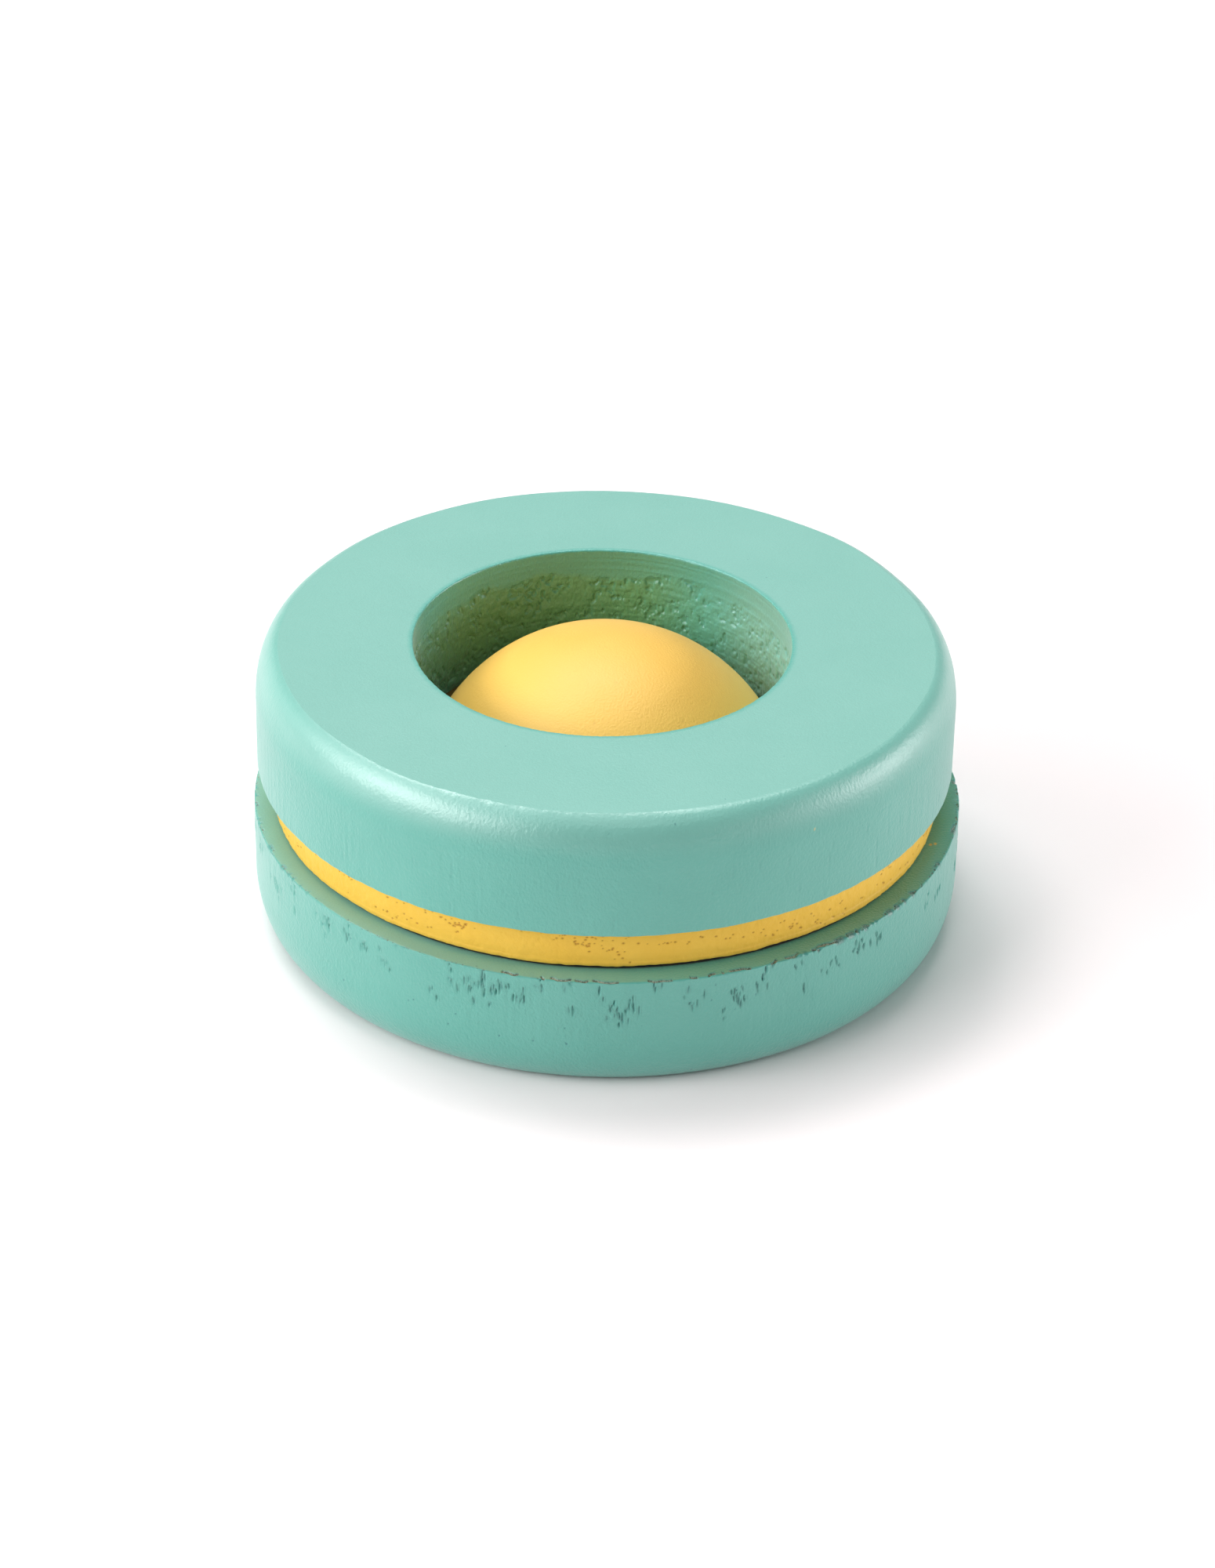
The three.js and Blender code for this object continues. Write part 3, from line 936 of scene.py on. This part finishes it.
def filling_layer(material):
    """The disc of filling. Its underside lifts a little off the lower biscuit at the front. Under it and on
    top, where the ring and the dome cover it, it carries painted shade."""
    low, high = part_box("filling_disc")
    outer = node_radii("filling_disc")[1]
    columns = FILLING_COLUMNS
    angle = np.arange(columns) * TURN / columns
    gap = GAP + GAP_LIFTED * arc_mask(angle, *LIFTED_ARC) + GAP_WANDER * ring_noise(70, 90, columns)
    size = FILLING_ROUNDING
    foot = FILLING_FOOT
    foot_top = low.z + gap + foot
    seat = outer - FILLING_SEAT
    side_rows = row_count(high.z - low.z, FILLING_STEP)
    corner_rows = row_count(size * math.pi / 2, FILLING_STEP)
    surface = Turned(columns, {
        "under": line((AXIS_CAP, low.z), (seat, low.z), row_count(outer, HIDDEN_STEP)),
        "gap": line((seat, low.z + GAP_INSIDE * gap), (outer - foot, low.z + gap), GAP_ROWS),
        "foot": corner((outer - foot, foot_top), foot, -math.pi / 2, 0.0, corner_rows // 2),
        "side": line((outer, foot_top), (outer, high.z - size), side_rows),
        "edge": corner((outer - size, high.z - size), size, 0.0, math.pi / 2, corner_rows),
        "over": line((outer - size, high.z), (AXIS_CAP, high.z), row_count(outer, HIDDEN_STEP)),
    })
    ridge = smoothstep(*RIDGE_HEIGHTS, surface.height - low.z) * RIDGE
    waves = surface.noise(71, cells=60, length=2.0 * MM) * FILLING_WAVE
    streaks = surface.noise(72, cells=500, length=1.5 * MM) * FILLING_STREAK
    lumps = surface.noise(74, cells=420, length=0.36 * MM) * LUMP
    fine_lumps = surface.noise(75, cells=800, length=0.2 * MM) * FINE_LUMP
    outside = surface.mask("foot", "side", "edge")
    surface.relief += (waves + streaks + lumps + fine_lumps - ridge) * outside
    open_pores(surface, low.z, outer)
    # Painted shade under the filling's edge and on its top inside the bore
    surface.mark("painted_seam_shade")[:] = surface.mask("gap") + COVERED_PAINTED_SHADE * surface.mask("over")
    piece = surface.piece("filling_layer", FILLING_SHIFT, False)
    stand_for(piece, "filling_disc", material)


def open_pores(surface, underside, outer):
    """The wood's open pores on the filling's side, in loose rows."""
    random = random_for(73)
    rows = slice(surface.rows["foot"].start, surface.rows["edge"].stop)
    for _ in range(PORE_GROUPS):
        middle = random.uniform(0.0, TURN)
        height = underside + random.uniform(*PORE_HEIGHTS)
        slope = random.normal(0.0, PORE_SLOPE)
        spread = random.uniform(*PORE_SPREADS)
        for _ in range(random.integers(*PORES_IN_GROUP)):
            across = random.normal(0.0, spread)
            place = surface.place_at(rows, height + slope * across + random.normal(0.0, PORE_SCATTER))
            size = random.uniform(*PORE_SIZES)
            angle = middle + across / outer
            surface.dent(rows, angle, place, size, 0.8 * size, PORE_DEPTH, "pore", lip=0.3)


def filling_button(material):
    """The dome: a square grid pressed round onto a ball, so that it has no pole, and a flat base."""
    low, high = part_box("filling_dome")
    rim = node_radii("filling_dome")[1] - DOME_TRIM
    cap = high.z - low.z - DOME_RIM_BREAK
    ball = (rim * rim + cap * cap) / (2.0 * cap)
    reach = math.asin(rim / ball)
    ruler = np.linspace(-1.0, 1.0, DOME_CELLS + 1)
    across, along = np.meshgrid(ruler, ruler)
    x = across * np.sqrt(1.0 - along**2 / 2.0)
    y = along * np.sqrt(1.0 - across**2 / 2.0)
    polar = np.hypot(x, y) * reach
    angle = np.arctan2(y, x)
    pore_depth, pore = dome_pores(across, along, rim)
    radius = (ball - pore_depth) * np.sin(polar)
    height = high.z - ball + (ball - pore_depth) * np.cos(polar)
    dome = np.stack([radius * np.cos(angle), radius * np.sin(angle), height], axis=2).reshape(-1, 3)
    number = np.arange(len(dome)).reshape(polar.shape)
    quads = np.stack([number[:-1, :-1], number[:-1, 1:], number[1:, 1:], number[1:, :-1]], axis=2)
    quads = quads.reshape(-1, 4)
    border = np.concatenate([number[0, :-1], number[:-1, -1], number[-1, :0:-1], number[:0:-1, 0]])
    turn = np.arctan2(dome[border, 1], dome[border, 0])
    circle = np.stack([np.cos(turn), np.sin(turn)], axis=1)
    base = np.column_stack([circle * (rim - DOME_RIM_BREAK), np.full(len(turn), low.z)])
    below = len(dome) + np.arange(len(border))
    skirt = np.stack([below, np.roll(below, -1), np.roll(border, -1), border], axis=1)
    points = np.concatenate([dome, base]) + (*DOME_SHIFT, 0.0)
    grid_map = DOME_MAP_SIZE * np.stack([across, along], axis=2).reshape(-1, 2) / 2.0 + DOME_MAP_MIDDLE
    quad_map = np.concatenate([grid_map[quads].reshape(-1, 2), skirt_map(len(border))])
    base_map = BASE_MAP_RADIUS * circle[::-1] + BASE_MAP_PLACE
    faces = np.concatenate([quads, skirt])
    marks = {"pore": np.concatenate([pore.ravel(), np.zeros(len(border))])}
    piece = mesh_piece("filling_button", points, faces, quad_map, [below[::-1]], [base_map], marks)
    stand_for(piece, "filling_dome", material)


def dome_pores(across, along, rim):
    """How deep and how dark the dome's pores are at each point of its grid."""
    random = random_for(80)
    depth = np.zeros(across.shape)
    dark = np.zeros(across.shape)
    for _ in range(DOME_PORES):
        spot = random.uniform(-1.0, 1.0, 2)
        size = random.uniform(*DOME_PORE_SIZES) / rim
        shape = np.exp(-((across - spot[0]) ** 2 + (along - spot[1]) ** 2) / size**2)
        depth += DOME_PORE_DEPTH * shape
        dark = np.maximum(dark, DOME_PORE_DARKNESS * shape)
    return depth, dark


def skirt_map(count):
    """The texture map of the band of quads under the dome's rim."""
    step = np.arange(count + 1) / count
    lower, upper = SKIRT_MAP_ROWS
    corners = [(step[:-1], lower), (step[1:], lower), (step[1:], upper), (step[:-1], upper)]
    places = [np.column_stack([place, np.full(count, row)]) for place, row in corners]
    return np.stack(places, axis=1).reshape(-1, 2)


def hidden_dowel(material):
    """The dowel's CAD solid stays, in bare wood."""
    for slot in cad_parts["centre_dowel"].material_slots:
        slot.material = material


# Stage

def camera():
    """The photograph's camera, which was held a little off level."""
    data = bpy.data.cameras.new("camera")
    data.lens = LENS_MM
    data.sensor_fit = "AUTO"
    data.sensor_width = SENSOR_MM
    data.clip_start = CAMERA_CLIP
    back = Vector((0.0, -math.cos(CAMERA_ELEVATION), math.sin(CAMERA_ELEVATION)))
    level = Vector((1.0, 0.0, 0.0))
    upright = back.cross(level)
    right = level * math.cos(CAMERA_ROLL) + upright * math.sin(CAMERA_ROLL)
    up = upright * math.cos(CAMERA_ROLL) - level * math.sin(CAMERA_ROLL)
    viewer = bpy.data.objects.new("camera", data)
    place = CAMERA_TARGET + back * CAMERA_DISTANCE
    viewer.matrix_world = Matrix.Translation(place) @ Matrix((right, up, back)).transposed().to_4x4()
    bpy.context.scene.collection.objects.link(viewer)
    bpy.context.scene.camera = viewer


def floor(material):
    """A square of paper under the object."""
    reach = FLOOR_REACH
    mesh = bpy.data.meshes.new("floor")
    corners = [(-reach, -reach, 0.0), (reach, -reach, 0.0), (reach, reach, 0.0), (-reach, reach, 0.0)]
    mesh.from_pydata(corners, [], [(0, 1, 2, 3)])
    ground = bpy.data.objects.new("floor", mesh)
    ground.data.materials.append(material)
    bpy.context.scene.collection.objects.link(ground)


def soft_box(name, azimuth, elevation, width, height, power):
    """A rectangular light that looks at the object."""
    lamp = bpy.data.lights.new(name, "AREA")
    lamp.shape = "RECTANGLE"
    lamp.size = width
    lamp.size_y = height
    lamp.energy = power
    turn = math.radians(azimuth)
    rise = math.radians(elevation)
    direction = Vector((math.cos(rise) * math.cos(turn), math.cos(rise) * math.sin(turn), math.sin(rise)))
    place = direction * LIGHT_DISTANCE
    holder = bpy.data.objects.new(name, lamp)
    holder.visible_camera = False
    holder.matrix_world = Matrix.Translation(place) @ (-place).to_track_quat("-Z", "Y").to_matrix().to_4x4()
    bpy.context.scene.collection.objects.link(holder)


def studio():
    """The lights, and a world that carries the white of the floor on below the horizon."""
    world = bpy.data.worlds.new("studio")
    bpy.context.scene.world = world
    world.use_nodes = True
    tree = world.node_tree
    backdrop = tree.nodes["Background"]
    backdrop.inputs["Color"].default_value = (1.0, 1.0, 1.0, 1.0)
    direction = tree.nodes.new("ShaderNodeTexCoord")
    parts = tree.nodes.new("ShaderNodeSeparateXYZ")
    strength = tree.nodes.new("ShaderNodeMapRange")
    strength.inputs["From Min"].default_value = -HORIZON_BLEND
    strength.inputs["From Max"].default_value = 0.0
    strength.inputs["To Min"].default_value = FAR_FLOOR_LIGHT
    strength.inputs["To Max"].default_value = WORLD_LIGHT
    tree.links.new(direction.outputs["Generated"], parts.inputs["Vector"])
    tree.links.new(parts.outputs["Z"], strength.inputs["Value"])
    tree.links.new(strength.outputs["Result"], backdrop.inputs["Strength"])
    world.cycles.sampling_method = "NONE"
    for name, values in SOFT_BOXES.items():
        soft_box(name, *values)
    bpy.context.scene.view_settings.view_transform = "Standard"


teal = teal_paint()
base_biscuit(teal)
filling_layer(yellow_paint("filling_paint", YELLOW_PALE, YELLOW_DEEP, FILLING_GLOSS))
# The dome takes a copy of the yellow that is made paler with painted sheen
filling_button(yellow_paint("dome_paint_with_painted_sheen", DOME_SHEEN_PALE, DOME_SHEEN_DEEP, DOME_GLOSS))
ring_biscuit(teal)
hidden_dowel(bare_wood())
camera()
floor(floor_paper())
studio()
